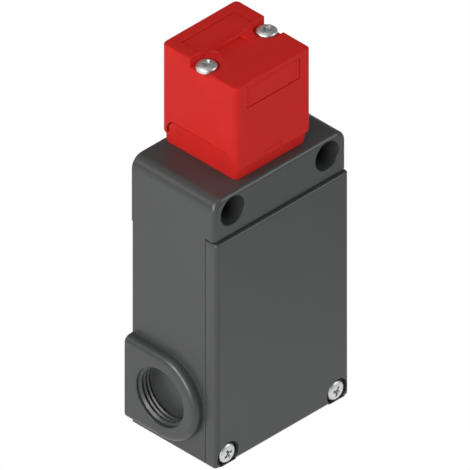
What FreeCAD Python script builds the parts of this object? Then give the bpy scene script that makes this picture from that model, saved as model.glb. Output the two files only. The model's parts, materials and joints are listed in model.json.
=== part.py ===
import FreeCAD, Part
import math
import os
import re

import Sketcher
from FreeCAD import Placement, Rotation, Vector

# Tongue interlock switch, in millimetres. The frame's origin is the middle of the underside:
# X runs across the front, +Y points to the wall that the switch is fixed to, and Z is up.

sizes = {
    # housing
    "housingWidth": 56.0,
    "housingTop": 97.0,
    "bodyDepth": 36.2,          # from the cover's face to the mounting pads
    "wall": 3.0,
    "padRise": 0.35,            # how far the mounting pads stand off the back
    "upperPadLow": 73.6,
    "lowerPadHigh": 12.0,
    "frontCorner": 1.5,         # radius of the upright front corners
    "shoulder": 4.2,            # radius of the two long top edges
    "upperRecess": 1.2,         # upper block's face behind the cover's face
    "postWidth": 12.5,          # lower corner posts that take the cover screws
    "postHeight": 11.0,
    # cover
    "coverTop": 82.0,
    "coverGap": 0.4,
    "coverWrap": 4.85,          # how far the cover reaches back over the sides
    "coverPlate": 2.4,
    "coverJoint": 0.1,          # joint line between the cover and the housing's rim
    "hookWidth": 30.0,
    "hookThickness": 1.2,
    "hookRise": 2.2,
    "hookClearance": 0.2,
    "gasketInset": 0.9,
    "gasketWidth": 1.4,
    "gasketGroove": 1.2,
    "gasketFit": 0.05,
    # cover screws
    "coverScrewX": 23.0,
    "coverScrewZ": 3.6,
    "coverPocketRadius": 4.3,
    "coverPocketFloor": 2.85,   # metal left under the screw head
    "coverScrewLength": 11.0,
    # screws in general
    "screwRadius": 1.75,
    "screwHeadRadius": 3.3,
    "screwHeadHeight": 2.0,
    "screwCrown": 2.2,         # radius of the head's flat top
    "screwBrim": 1.3,           # height of the head's upright edge
    "screwEndGap": 0.5,         # hole left below a screw's end
    "screwPassage": 0.25,       # radial play where a screw only passes through
    "screwFit": 0.05,           # radial play where a screw holds
    # fixing holes
    "fixingSpacing": 40.0,
    "fixingHeight": 90.8,
    "fixingRadius": 2.65,
    "fixingCounterRadius": 5.0,
    "fixingCounterDepth": 9.0,
    # conduit entries
    "entryHeight": 18.1,
    "entryOffset": 0.4,         # how far the entry lies behind the middle of the side wall
    "entryRadius": 10.0,
    "entryDepth": 5.9,
    "entryWeb": 1.5,            # knock-out wall at the bottom of the entry
    "bossRise": 3.4,
    "bossMargin": 0.45,         # wall left beside the boss, front and back, on average
    "entryCollarRadius": 12.2,
    "scoreRadius": 8.6,
    "scoreWidth": 0.8,
    "scoreDepth": 0.7,
    # head
    "headWidth": 31.7,
    "headBehindMiddle": 1.65,
    "headTop": 133.2,
    "headStep": 1.8,            # raised rear part of the head's top
    "headStepBack": 11.9,       # from the head's back to the step
    "headCorner": 1.7,
    "headEdge": 0.6,
    "bandFront": 4.2,           # collar showing at the front and back
    "bandSide": 9.2,            # collar showing at the sides
    "bandTaper": 1.0,
    "skirt": 2.2,
    "skirtRound": 3.5,
    "keyWidth": 7.2,
    "keyRise": 2.1,
    "headFit": 0.1,
    "spigotPlay": 0.2,
    "spigotDepth": 3.0,
    "ringWire": 0.75,
    "ringGroove": 1.6,
    "ringFit": 0.01,
    # head screws
    "headScrewInset": 3.15,     # from the head's sides
    "headPocketRadius": 4.1,
    "headPocketDepth": 1.4,
    "headScrewThread": 8.5,
    "headColumnRadius": 2.9,
    # key entries
    "headCheek": 7.65,          # the head's width either side of the drum's room
    "drumRoomFront": 3.6,
    "drumRoomBack": 5.0,
    "drumRoomTop": 2.5,
    "entrySlot": 5.0,
    "plugOverlap": 2.85,        # how far the plug's plate covers the casing beside the slot
    "plugHeight": 7.1,
    "plugPlate": 1.6,
    "plugSink": 0.2,
    "plugPlay": 0.2,
    "plugSpigot": 2.8,
    "plugSpigotPlay": 0.2,
    "plugWall": 1.2,
    "frontSlotBelowTop": 5.35,
    "topSlotBehindStep": 4.15,
    "reliefWidth": 11.0,
    "reliefLength": 7.0,
    "reliefDepth": 0.9,
    # cam drum
    "drumHeight": 118.0,
    "axleRadius": 2.0,
    "axleEndPlay": 0.2,
    "axlePlay": 0.05,
    "axleSlot": 2.0,            # depth of the bearing slots in the casing's walls
    "drumPlay": 0.3,
    "coreWidth": 8.2,
    "discRadius": 5.6,
    "toothReach": 8.6,
    "toothRoot": 3.9,
    "toothRootHalf": 1.7,
    "toothTipHalf": 0.75,
    "toothAngle": 108.0,
    "toothSpread": 86.0,
    "camHigh": 8.0,
    "plungerTravel": 3.0,             # plunger travel over the whole turn
    "camTurn": 60.0,
    "camBackAngle": 190.0,      # where the low back ends, seen from the right
    "camDwellAngle": 210.0,
    "camDwellEnd": 265.0,
    "camBlank": 9.2,            # radius that the blank has before its rim is turned
    "camPinRadius": 0.75,
    "camPinCircle": 3.4,
    "camPlay": 0.05,
    # plunger and its guide
    "plungerRadius": 3.0,
    "plungerFoot": 75.5,
    "plungerPlay": 0.05,
    "bushRadius": 5.0,
    "wellWall": 0.75,           # metal between the well and the head screws
    "wellFloor": 87.0,
    "sealHeight": 2.0,
    "sealRelief": 0.6,          # clearance under the sealing lip
    "sealNeck": 0.9,
    "sealRoot": 1.4,
    "sealLipLow": 0.7,
    "sealLipHigh": 0.2,
    "sealWasher": 0.6,
    "washerPlay": 1.5,
    "clipRadius": 5.0,
    "clipThickness": 0.6,
    "clipGroove": 0.6,
    "clipMouth": 1.95,          # half the width of the clip's open side
    "clipAbove": 0.5,
    "guideRadius": 4.6,
    "guideRise": 0.3,
    # contact block
    "cavityTopInset": 3.0,
    "blockStandoff": 2.5,
    "blockDepth": 18.0,
    "blockWidth": 33.0,
    "blockLow": 34.0,
    "blockHigh": 78.0,
    "chamberWidth": 24.0,
    "chamberHeight": 9.8,
    "rowFirst": 47.5,
    "rowPitch": 11.0,
    "carrierWidth": 6.8,
    "carrierDepth": 6.8,
    "carrierSidePlay": 0.2,
    "carrierBackPlay": 0.4,
    "carrierFoot": 43.4,
    "windowHeight": 4.25,
    "windowDepth": 4.0,
    "bridgeLength": 21.0,
    "bridgeDepth": 3.4,
    "contactSheet": 0.8,
    "rivetRadius": 1.2,
    "rivetHeight": 0.5,
    "rivetInset": 0.3,
    "contactPlay": 0.1,
    "barrierRise": 3.0,
    "barrierThickness": 1.2,
    "barrierRoot": 3.0,
    "seatSlack": 0.05,
    "bladeInner": 7.6,
    "bladeOuter": 11.8,
    "terminalX": 13.9,
    "terminalPlateWidth": 6.4,
    "terminalPlateReach": 2.0,  # plate's end beyond the screw's middle
    "clampSize": 6.0,
    "clampThickness": 1.0,
    "terminalScrewLength": 9.0,
    "lidWidth": 13.0,
    "lidThickness": 1.5,
    "lidMargin": 0.8,
    "lidWindow": 0.8,
    "blockScrewX": 12.0,
    "blockScrewZ": 38.0,
    "blockBossRadius": 4.0,
    "springWire": 0.7,
    "springRadius": 2.5,
    "springTurns": 4.0,
    "springFloor": 36.0,
    "springSpigot": 2.0,
    "contactSpringWire": 0.4,
    "contactSpringRadius": 1.4,
    "contactSpringTurns": 3.0,
    "springSeat": 0.05,
    # earth terminal
    "earthX": -16.0,
    "earthZ": 25.0,
    "earthBossRadius": 4.5,
    "earthBossHeight": 6.0,
    # small edges and fits
    "bottomCorner": 0.5,
    "coverEdge": 0.7,
    "bossEdge": 2.2,
    "headWall": 1.8,
    "headHollowRoof": 4.0,
    "plugCorner": 0.5,
    "pinFit": 0.02,
}

doc = FreeCAD.newDocument("TongueInterlockSwitch")
sheet = doc.addObject("Spreadsheet::Sheet", "Sizes")
for row, (alias, size) in enumerate(sizes.items(), start=1):
    sheet.set(f"A{row}", alias)
    sheet.set(f"B{row}", str(size))
    sheet.setAlias(f"B{row}", alias)
doc.recompute()

pieces = []


def size(name):
    return float(sheet.get(name))


def qualified(text):
    """The expression with each size's name pointed at its cell."""
    def pointed(word):
        return "Sizes." + word.group() if word.group() in sizes else word.group()

    return re.sub(r"[A-Za-z]\w*", pointed, text)


def bind(item, prop, text):
    item.setExpression(prop, qualified(text))


# Places that several pieces share, each as an expression of the sizes.

front = "(-bodyDepth / 2)"
padFace = "(bodyDepth / 2)"
back = "(bodyDepth / 2 - padRise)"
rimFace = f"({front} + coverWrap + coverJoint)"
innerBack = f"({back} - wall)"
side = "(housingWidth / 2)"
entryY = f"(({rimFace} + {back}) / 2 + entryOffset)"
bossRadius = f"(({back} - {rimFace}) / 2 - bossMargin)"
upperFace = f"({front} + upperRecess)"
upperLow = "(coverTop + coverGap)"
cavityTop = "(coverTop - cavityTopInset)"
headMiddle = "headBehindMiddle"
headHalf = "(headWidth / 2)"
headFront = "(headBehindMiddle - headWidth / 2)"
headBack = "(headBehindMiddle + headWidth / 2)"
bandFrontTop = "(housingTop + bandFront)"
bandSideTop = "(housingTop + bandSide)"
headLowTop = "(headTop - headStep)"
stepFace = f"({headBack} - headStepBack)"
headScrewX = f"({headHalf} - headScrewInset)"
headScrewY = f"({stepFace} - headPocketRadius)"
wellRadius = f"({headScrewX} - screwRadius - wellWall)"
spigotRadius = f"({wellRadius} - spigotPlay)"
headScrewSeat = f"({headLowTop} - headPocketDepth)"
roomHalf = f"({headHalf} - headCheek)"
drumHalf = f"({roomHalf} - drumPlay)"
axleHalf = f"({roomHalf} + axleSlot - axleEndPlay)"
roomFront = f"({headFront} + drumRoomFront)"
roomBack = f"({headBack} - drumRoomBack)"
roomTop = f"({headLowTop} - drumRoomTop)"
frontSlotZ = f"({headLowTop} - frontSlotBelowTop)"
topSlotY = f"({stepFace} + topSlotBehindStep)"
plugHalf = f"({roomHalf} + plugOverlap)"
plugRecess = "(plugPlate + plugSink)"
blockBack = f"({innerBack} - blockStandoff)"
blockFront = f"({blockBack} - blockDepth)"
channelBack = "(headBehindMiddle + carrierDepth / 2 + carrierBackPlay)"
clipLow = "(wellFloor + sealHeight + sealWasher + clipAbove)"
hookBack = f"({front} + coverWrap - gasketGroove - gasketFit)"
rivetPlace = "(bladeInner + rivetRadius + rivetInset)"


# Sketch outlines: a polygon is a list of corners, a circle is a centre and a radius.

def rectangle(left, right, low, high):
    return [(left, low), (right, low), (right, high), (left, high)]


def centred(halfWidth, low, high):
    return rectangle(f"-({halfWidth})", halfWidth, low, high)


class Circle:
    def __init__(self, x, y, radius):
        self.x = x
        self.y = y
        self.radius = radius


def newBody(label):
    body = doc.addObject("PartDesign::Body", label)
    body.Label = label
    pieces.append(body)
    return body


def originPlane(body, plane):
    return next(item for item in body.Origin.OriginFeatures if item.Role == plane + "_Plane")


def newSketch(body, plane, place):
    sketch = body.newObject("Sketcher::SketchObject", "Sketch")
    sketch.AttachmentSupport = [(originPlane(body, plane), "")]
    sketch.MapMode = "FlatFace"
    bind(sketch, "AttachmentOffset.Base.z", f"-({place})" if plane == "XZ" else place)
    return sketch


def pin(sketch, geometry, point, x, y):
    for kind, text in (("DistanceX", x), ("DistanceY", y)):
        index = sketch.addConstraint(Sketcher.Constraint(kind, -1, 1, geometry, point, 1.0))
        bind(sketch, f"Constraints[{index}]", text)


def drawCircle(sketch, circle):
    geometry = sketch.addGeometry(Part.Circle(Vector(1, 1, 0), Vector(0, 0, 1), 1.0), False)
    pin(sketch, geometry, 3, circle.x, circle.y)
    index = sketch.addConstraint(Sketcher.Constraint("Radius", geometry, 1.0))
    bind(sketch, f"Constraints[{index}]", circle.radius)


def drawPolygon(sketch, corners):
    first = sketch.GeometryCount
    count = len(corners)
    turns = [2 * math.pi * index / count for index in range(count)]
    rough = [Vector(math.cos(turn), math.sin(turn), 0) for turn in turns]
    for index in range(count):
        sketch.addGeometry(Part.LineSegment(rough[index], rough[(index + 1) % count]), False)
    for index, (x, y) in enumerate(corners):
        following = first + (index + 1) % count
        sketch.addConstraint(Sketcher.Constraint("Coincident", first + index, 2, following, 1))
        pin(sketch, first + index, 1, x, y)


def draw(sketch, outlines):
    for outline in outlines:
        if isinstance(outline, Circle):
            drawCircle(sketch, outline)
        else:
            drawPolygon(sketch, outline)


def pad(body, plane, low, high, *outlines):
    """Adds the outlines between two places along the plane's axis."""
    sketch = newSketch(body, plane, low)
    draw(sketch, outlines)
    feature = body.newObject("PartDesign::Pad", "Pad")
    feature.Profile = sketch
    feature.Reversed = plane == "XZ"
    bind(feature, "Length", f"({high}) - ({low})")
    return feature


def pocket(body, plane, low, high, *outlines):
    """Cuts the outlines between two places along the plane's axis."""
    doc.recompute()
    before = body.Shape.Volume
    sketch = newSketch(body, plane, low)
    draw(sketch, outlines)
    feature = body.newObject("PartDesign::Pocket", "Pocket")
    feature.Profile = sketch
    feature.Reversed = plane != "XZ"
    bind(feature, "Length", f"({high}) - ({low})")
    doc.recompute()
    if not feature.Shape.Volume < before:
        raise RuntimeError(f"{body.Label}: a pocket cuts nothing")
    return feature


def edgeNames(shape, wanted):
    return [f"Edge{index}" for index, edge in enumerate(shape.Edges, start=1) if wanted(edge)]


def dress(body, kind, amount, wanted):
    """Rounds or bevels the edges that the test picks."""
    doc.recompute()
    tip = body.Tip
    names = edgeNames(tip.Shape, wanted)
    if not names:
        raise RuntimeError(f"{body.Label}: no edge to dress")
    feature = body.newObject(f"PartDesign::{kind}", kind)
    feature.Base = (tip, names)
    bind(feature, "Radius" if kind == "Fillet" else "Size", amount)
    return feature


def runsAlong(edge, axis):
    if len(edge.Vertexes) != 2:
        return False
    span = edge.Vertexes[1].Point - edge.Vertexes[0].Point
    return abs(abs(span.dot(axis)) - edge.Length) < 1e-5


def isStraight(edge):
    if len(edge.Vertexes) != 2:
        return False
    return abs(edge.Vertexes[1].Point.distanceToPoint(edge.Vertexes[0].Point) - edge.Length) < 1e-5


def at(value, target):
    return abs(value - target) < 1e-4


def onSides(edge, halfWidth):
    return at(abs(edge.BoundBox.Center.x), halfWidth)


def isLevel(edge):
    return edge.BoundBox.ZLength < 1e-4


alongX = Vector(1, 0, 0)
alongY = Vector(0, 1, 0)
alongZ = Vector(0, 0, 1)


def turned(body, plane, place, axisPlace, outline):
    """Turns the outline round a line of the sketch that runs up its own Y at axisPlace."""
    sketch = newSketch(body, plane, place)
    drawPolygon(sketch, outline)
    axis = sketch.addGeometry(Part.LineSegment(Vector(1, 0, 0), Vector(1, 1, 0)), True)
    pin(sketch, axis, 1, axisPlace, "0")
    pin(sketch, axis, 2, axisPlace, "1")
    feature = body.newObject("PartDesign::Revolution", "Revolution")
    feature.Profile = sketch
    feature.ReferenceAxis = (sketch, ["Axis0"])
    feature.Angle = 360
    return feature


def screwOutline(centre, seat, direction, length):
    """Half a pan head screw beside its axis, with the head and the shank either side of the seat."""
    def spot(out, along):
        return (f"{centre} + {out}", f"{seat} + ({direction}) * ({along})")

    return [
        spot("0", "-screwHeadHeight"),
        spot("screwCrown", "-screwHeadHeight"),
        spot("screwHeadRadius", "-screwBrim"),
        spot("screwHeadRadius", "0"),
        spot("screwRadius", "0"),
        spot("screwRadius", length),
        spot("0", length),
    ]


# The stepped loop that the cover, the gasket and the housing's rim share: it runs inside the
# two screws at the lower corners. The inset is counted from the outer faces.

def rimLoop(inset):
    x = f"{side} - ({inset})"
    top = f"coverTop - ({inset})"
    stepX = f"{side} - postWidth + wall - ({inset})"
    stepZ = f"postHeight - wall + ({inset})"
    return [
        (f"-({stepX})", inset), (stepX, inset), (stepX, stepZ), (x, stepZ),
        (x, top), (f"-({x})", top), (f"-({x})", stepZ), (f"-({stepX})", stepZ),
    ]


def makeHousing():
    body = newBody("housing")
    pad(body, "XY", "0", upperLow, centred(side, rimFace, back))
    pad(body, "XY", upperLow, "housingTop", centred(side, upperFace, back))
    pad(body, "XY", "upperPadLow", "housingTop", centred(side, "0", padFace))
    halfWidth = size("housingWidth") / 2
    faceY = -size("bodyDepth") / 2 + size("upperRecess")
    dress(body, "Fillet", "shoulder", lambda edge: runsAlong(edge, alongY)
          and at(edge.BoundBox.ZMax, size("housingTop")) and onSides(edge, halfWidth))
    dress(body, "Fillet", "frontCorner", lambda edge: runsAlong(edge, alongZ)
          and at(edge.BoundBox.YMin, faceY) and onSides(edge, halfWidth))
    dress(body, "Fillet", "bottomCorner", lambda edge: runsAlong(edge, alongY)
          and at(edge.BoundBox.ZMax, 0) and onSides(edge, halfWidth))
    pad(body, "XZ", "0", padFace, centred(f"{side} - wall", "wall", "lowerPadHigh"))
    for sign in (-1, 1):
        addConduitBoss(body, sign)
    pocket(body, "XZ", rimFace, innerBack, rimLoop("wall"))
    for sign in (-1, 1):
        addConduitEntry(body, sign)
    addBlockSeats(body)
    addTopHoles(body)
    addFixingHoles(body)
    pocket(body, "XY", upperLow, f"{upperLow} + hookRise",
           centred("hookWidth / 2 + hookClearance", f"{hookBack} - hookThickness - hookClearance",
                   f"{hookBack} + hookClearance"))
    for sign in (-1, 1):
        pocket(body, "XZ", rimFace, f"{rimFace} + coverScrewLength",
               Circle(f"{sign} * coverScrewX", "coverScrewZ", "screwRadius + screwFit"))


def addConduitBoss(body, sign):
    """A round-fronted boss on the side wall, whose straight sides run back to the wall's end."""
    wall = f"{sign} * ({side} - wall / 2)"
    face = f"{sign} * ({side} + bossRise)"
    low, high = (face, wall) if sign < 0 else (wall, face)
    pad(body, "YZ", low, high, Circle(entryY, "entryHeight", bossRadius))
    pad(body, "YZ", low, high,
        rectangle(entryY, back, f"entryHeight - {bossRadius}", f"entryHeight + {bossRadius}"))
    faceX = sign * (size("housingWidth") / 2 + size("bossRise"))
    dress(body, "Fillet", "bossEdge", lambda edge: all(at(end.X, faceX) for end in edge.Vertexes)
          and not runsAlong(edge, alongZ))


def addConduitEntry(body, sign):
    """The entry's bore, its knock-out wall with a score line, and the collar inside the wall."""
    def between(outer, inner):
        return (outer, inner) if sign < 0 else (inner, outer)

    mouth = f"{sign} * ({side} + bossRise)"
    floor = f"{sign} * ({side} + bossRise - entryDepth)"
    inside = f"{sign} * ({side} + bossRise - entryDepth - entryWeb)"
    middle = (entryY, "entryHeight")
    pad(body, "YZ", *between(f"{sign} * ({side} - wall / 2)", inside),
        Circle(*middle, "entryCollarRadius"))
    pocket(body, "YZ", *between(mouth, floor), Circle(*middle, "entryRadius"))
    score = f"{sign} * ({side} + bossRise - entryDepth - entryWeb + scoreDepth)"
    pocket(body, "YZ", *between(score, inside), Circle(*middle, "scoreRadius"),
           Circle(*middle, "scoreRadius - scoreWidth"))


def addBlockSeats(body):
    """Bosses on the inner back for the contact block and the earth terminal."""
    for sign in (-1, 1):
        for height in ("blockScrewZ", "blockHigh - blockBossRadius"):
            pad(body, "XZ", blockBack, f"{innerBack} + wall / 2",
                Circle(f"{sign} * blockScrewX", height, "blockBossRadius"))
        pocket(body, "XZ", blockBack, f"{innerBack} + wall / 2",
               Circle(f"{sign} * blockScrewX", "blockScrewZ", "screwRadius + screwFit"))
    earth = f"{innerBack} - earthBossHeight"
    pad(body, "XZ", earth, f"{innerBack} + wall / 2", Circle("earthX", "earthZ", "earthBossRadius"))
    pocket(body, "XZ", earth, f"{innerBack} + wall / 4",
           Circle("earthX", "earthZ", "screwRadius + screwFit"))


def addTopHoles(body):
    """The well under the head, the bore for the plunger's bush and the head screws' threads."""
    pocket(body, "XY", "wellFloor", "housingTop", Circle("0", headMiddle, wellRadius))
    pocket(body, "XY", cavityTop, "wellFloor", Circle("0", headMiddle, "bushRadius"))
    for sign in (-1, 1):
        pocket(body, "XY", "housingTop - headScrewThread", "housingTop",
               Circle(f"{sign} * {headScrewX}", headScrewY, "screwRadius + screwFit"))


def addFixingHoles(body):
    for sign in (-1, 1):
        middle = (f"{sign} * fixingSpacing / 2", "fixingHeight")
        pocket(body, "XZ", upperFace, f"{upperFace} + fixingCounterDepth",
               Circle(*middle, "fixingCounterRadius"))
        pocket(body, "XZ", upperFace, padFace, Circle(*middle, "fixingRadius"))


def makeCover():
    body = newBody("cover")
    coverBack = f"({front} + coverWrap)"
    pad(body, "XZ", front, coverBack, centred(side, "0", "coverTop"))
    halfWidth = size("housingWidth") / 2
    frontY = -size("bodyDepth") / 2
    dress(body, "Fillet", "bottomCorner", lambda edge: runsAlong(edge, alongY)
          and at(edge.BoundBox.ZMax, 0) and onSides(edge, halfWidth))
    dress(body, "Fillet", "frontCorner", lambda edge: runsAlong(edge, alongZ)
          and at(edge.BoundBox.YMin, frontY) and onSides(edge, halfWidth))
    dress(body, "Fillet", "coverEdge", lambda edge: runsAlong(edge, alongX)
          and at(edge.BoundBox.YMax, frontY) and edge.BoundBox.ZMin > 1)
    pocket(body, "XZ", f"{front} + coverPlate", coverBack, rimLoop("wall"))
    pocket(body, "XZ", f"{coverBack} - gasketGroove", coverBack, rimLoop("gasketInset"),
           rimLoop("gasketInset + gasketWidth + 2 * gasketFit"))
    pad(body, "XZ", f"{hookBack} - hookThickness", hookBack,
        centred("hookWidth / 2", f"{cavityTop} + seatSlack", "coverTop + hookRise"))
    for sign in (-1, 1):
        middle = (f"{sign} * coverScrewX", "coverScrewZ")
        pocket(body, "XZ", front, f"{coverBack} - coverPocketFloor", Circle(*middle, "coverPocketRadius"))
        pocket(body, "XZ", front, coverBack, Circle(*middle, "screwRadius + screwPassage"))


def makeGasket():
    body = newBody("cover_gasket")
    pad(body, "XZ", f"{front} + coverWrap - gasketGroove", rimFace, rimLoop("gasketInset + gasketFit"),
        rimLoop("gasketInset + gasketFit + gasketWidth"))


def makeCoverScrews():
    body = newBody("cover_screws")
    seat = f"({front} + coverWrap - coverPocketFloor)"
    for sign in (-1, 1):
        centre = f"{sign} * coverScrewX"
        turned(body, "XY", "coverScrewZ", centre, screwOutline(centre, seat, 1, "coverScrewLength"))


def makeHeadCasing():
    body = newBody("head_casing")
    footprint = centred(headHalf, headFront, headBack)
    pad(body, "XY", bandSideTop, headLowTop, footprint)
    pad(body, "XY", headLowTop, "headTop", centred(headHalf, stepFace, headBack))
    pad(body, "XY", bandFrontTop, bandSideTop, centred(headHalf, headFront, f"{headFront} + skirt"))
    pad(body, "XY", bandFrontTop, bandSideTop, centred(headHalf, f"{headBack} - skirt", headBack))
    halfWidth = size("headWidth") / 2
    frontY = size("headBehindMiddle") - halfWidth
    backY = size("headBehindMiddle") + halfWidth
    sideTop = size("housingTop") + size("bandSide")
    lowTop = size("headTop") - size("headStep")
    dress(body, "Fillet", "headCorner", lambda edge: runsAlong(edge, alongZ) and onSides(edge, halfWidth)
          and (at(edge.BoundBox.YMin, frontY) or at(edge.BoundBox.YMax, backY)))
    dress(body, "Fillet", "skirtRound", lambda edge: runsAlong(edge, alongX)
          and at(edge.BoundBox.ZMin, sideTop))
    stepY = backY - size("headStepBack")
    dress(body, "Fillet", "headEdge", lambda edge: isLevel(edge)
          and (at(edge.BoundBox.ZMin, size("headTop")) or at(edge.BoundBox.ZMin, lowTop))
          and not (runsAlong(edge, alongX) and at(edge.BoundBox.YMin, stepY)))
    addDrumRoom(body)
    addKeyEntries(body)
    addScrewColumns(body)
    notchDepth = "(skirt + skirtRound)"
    for low, high in ((headFront, f"{headFront} + {notchDepth}"), (f"{headBack} - {notchDepth}", headBack)):
        pocket(body, "XZ", low, high, centred("keyWidth / 2", bandFrontTop, f"{bandFrontTop} + keyRise"))
    pocket(body, "YZ", "-reliefWidth / 2", "reliefWidth / 2",
           [(f"{stepFace} - reliefLength", headLowTop), (stepFace, f"{headLowTop} - reliefDepth"),
            (stepFace, f"{headLowTop} + reliefDepth"),
            (f"{stepFace} - reliefLength", f"{headLowTop} + reliefDepth")])


def addDrumRoom(body):
    """The room for the cam drum, open below, with a bearing slot for the axle in each side wall."""
    pocket(body, "XY", bandSideTop, roomTop, centred(roomHalf, roomFront, roomBack))
    slotHalf = f"({roomHalf} + axleSlot)"
    pocket(body, "YZ", f"-{slotHalf}", slotHalf, Circle(headMiddle, "drumHeight", "axleRadius + axlePlay"))
    pocket(body, "YZ", f"-{slotHalf}", slotHalf,
           rectangle(f"{headMiddle} - axleRadius - axlePlay", f"{headMiddle} + axleRadius + axlePlay",
                     bandSideTop, "drumHeight"))


def addKeyEntries(body):
    """The front and top key slots, each with a recess for its plug."""
    halfSlot = "entrySlot / 2"
    halfPlug = "(plugHeight / 2 + plugPlay)"
    plugSide = f"{plugHalf} + plugPlay"
    pocket(body, "XZ", headFront, roomFront,
           centred(roomHalf, f"{frontSlotZ} - {halfSlot}", f"{frontSlotZ} + {halfSlot}"))
    pocket(body, "XZ", headFront, f"{headFront} + {plugRecess}",
           centred(plugSide, f"{frontSlotZ} - {halfPlug}", f"{frontSlotZ} + {halfPlug}"))
    pocket(body, "XY", roomTop, "headTop",
           centred(roomHalf, f"{topSlotY} - {halfSlot}", f"{topSlotY} + {halfSlot}"))
    pocket(body, "XY", f"headTop - {plugRecess}", "headTop",
           centred(plugSide, f"{topSlotY} - {halfPlug}", f"{topSlotY} + {halfPlug}"))


def addScrewColumns(body):
    """Screw passages with their side-open pockets, and the hollows that leave a column round each."""
    for sign in (-1, 1):
        middle = (f"{sign} * {headScrewX}", headScrewY)
        pocket(body, "XY", headScrewSeat, "headTop", Circle(*middle, "headPocketRadius"))
        across = (f"{sign} * {headHalf}", middle[0])[::-sign]
        pocket(body, "XY", headScrewSeat, "headTop",
               rectangle(*across, f"{headScrewY} - headPocketRadius", stepFace))
        pocket(body, "XY", bandSideTop, headScrewSeat, Circle(*middle, "screwRadius + screwPassage"))
        near = f"{sign} * ({roomHalf} + headWall)"
        far = f"{sign} * ({headHalf} - headWall)"
        left, right = (far, near) if sign < 0 else (near, far)
        pocket(body, "XY", bandSideTop, f"{headScrewSeat} - headHollowRoof",
               rectangle(left, right, f"{headFront} + skirt + headWall", f"{headScrewY} - headColumnRadius"),
               rectangle(left, right, f"{headScrewY} + headColumnRadius + headWall / 2",
                         f"{headBack} - skirt - headWall"))


def makeHeadBase():
    body = newBody("head_base")
    inset = "(bandTaper + headFit)"
    collar = pad(body, "XY", "housingTop", bandFrontTop,
                 centred(f"{headHalf} - {inset}", f"{headFront} + {inset}", f"{headBack} - headFit"))
    slope = "atan(bandTaper / bandSide)"
    bind(collar, "TaperAngle", slope)
    pocket(body, "XY", "housingTop", bandFrontTop,
           centred("headWidth", f"{headBack} - headFit", f"{headBack} + bandTaper"))
    dress(body, "Fillet", "headCorner", lambda edge: isStraight(edge)
          and edge.BoundBox.ZLength > 1 and edge.BoundBox.XLength > 0.1)
    rise = f"({bandSideTop} - headFit)"
    spread = "(bandTaper * (bandSide - bandFront - headFit) / bandSide)"
    behind = f"(skirt + headFit + {spread})"
    slab = pad(body, "XY", bandFrontTop, rise,
               centred(f"{headHalf} - headFit - {spread}",
                       f"{headFront} + {behind}", f"{headBack} - {behind}"))
    bind(slab, "TaperAngle", slope)
    top = size("housingTop") + size("bandSide") - size("headFit")
    dress(body, "Fillet", "skirtRound - headFit", lambda edge: runsAlong(edge, alongX)
          and at(edge.BoundBox.ZMin, top))
    for start, end in ((f"{headFront} + headFit", f"{headFront} + skirt + skirtRound"),
                       (f"{headBack} - skirt - skirtRound", f"{headBack} - headFit")):
        pad(body, "XY", bandFrontTop, f"{bandFrontTop} + keyRise - headFit",
            centred("keyWidth / 2 - headFit", start, end))
    pad(body, "XY", "housingTop - spigotDepth", "housingTop", Circle("0", headMiddle, spigotRadius))
    pad(body, "XY", rise, f"{bandSideTop} + guideRise", Circle("0", headMiddle, "guideRadius"))
    for sign in (-1, 1):
        near = f"{sign} * ({roomHalf} + headFit)"
        far = f"{sign} * ({roomHalf} + axleSlot - headFit)"
        left, right = (far, near) if sign < 0 else (near, far)
        pad(body, "XY", rise, "drumHeight - axleRadius - axlePlay",
            rectangle(left, right, f"{headMiddle} - axleRadius + headFit",
                      f"{headMiddle} + axleRadius - headFit"))
        pocket(body, "XY", "housingTop", bandSideTop,
               Circle(f"{sign} * {headScrewX}", headScrewY, "screwRadius + screwFit"))
    pocket(body, "XY", "housingTop - spigotDepth", f"{bandSideTop} + guideRise",
           Circle("0", headMiddle, "plungerRadius + plungerPlay"))
    middle = "(housingTop - spigotDepth / 2)"
    pocket(body, "XY", f"{middle} - ringGroove / 2", f"{middle} + ringGroove / 2",
           Circle("0", headMiddle, wellRadius), Circle("0", headMiddle, f"{wellRadius} - 2 * ringWire"))


def makeHeadRing():
    """A ring whose section is an octagon, in the groove round the head's spigot."""
    body = newBody("head_o_ring")
    flats = [45 * step + 22.5 for step in range(8)]
    turned(body, "XZ", headMiddle, "0",
           [(f"{wellRadius} - ringWire + (ringWire - ringFit) * cos({angle})",
             f"housingTop - spigotDepth / 2 + (ringWire - ringFit) * sin({angle})") for angle in flats])


def makeHeadScrews():
    body = newBody("head_screws")
    length = f"({headScrewSeat} - housingTop + headScrewThread - screwEndGap)"
    for sign in (-1, 1):
        centre = f"{sign} * {headScrewX}"
        turned(body, "XZ", headScrewY, centre, screwOutline(centre, headScrewSeat, -1, length))


def makeFrontPlug():
    body = newBody("front_slot_plug")
    outer = f"({headFront} + plugSink)"
    inner = f"({outer} + plugPlate)"
    pad(body, "XZ", outer, inner,
        centred(plugHalf, f"{frontSlotZ} - plugHeight / 2", f"{frontSlotZ} + plugHeight / 2"))
    half = "(entrySlot / 2 - plugSpigotPlay)"
    pad(body, "XZ", inner, f"{inner} + plugSpigot",
        centred(f"{roomHalf} - plugSpigotPlay", f"{frontSlotZ} - {half}", f"{frontSlotZ} + {half}"))
    hollow = f"({half} - plugWall)"
    pocket(body, "XZ", inner, f"{inner} + plugSpigot",
           centred(f"{roomHalf} - plugSpigotPlay - plugWall", f"{frontSlotZ} - {hollow}",
                   f"{frontSlotZ} + {hollow}"))
    roundPlugCorners(body)


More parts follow.
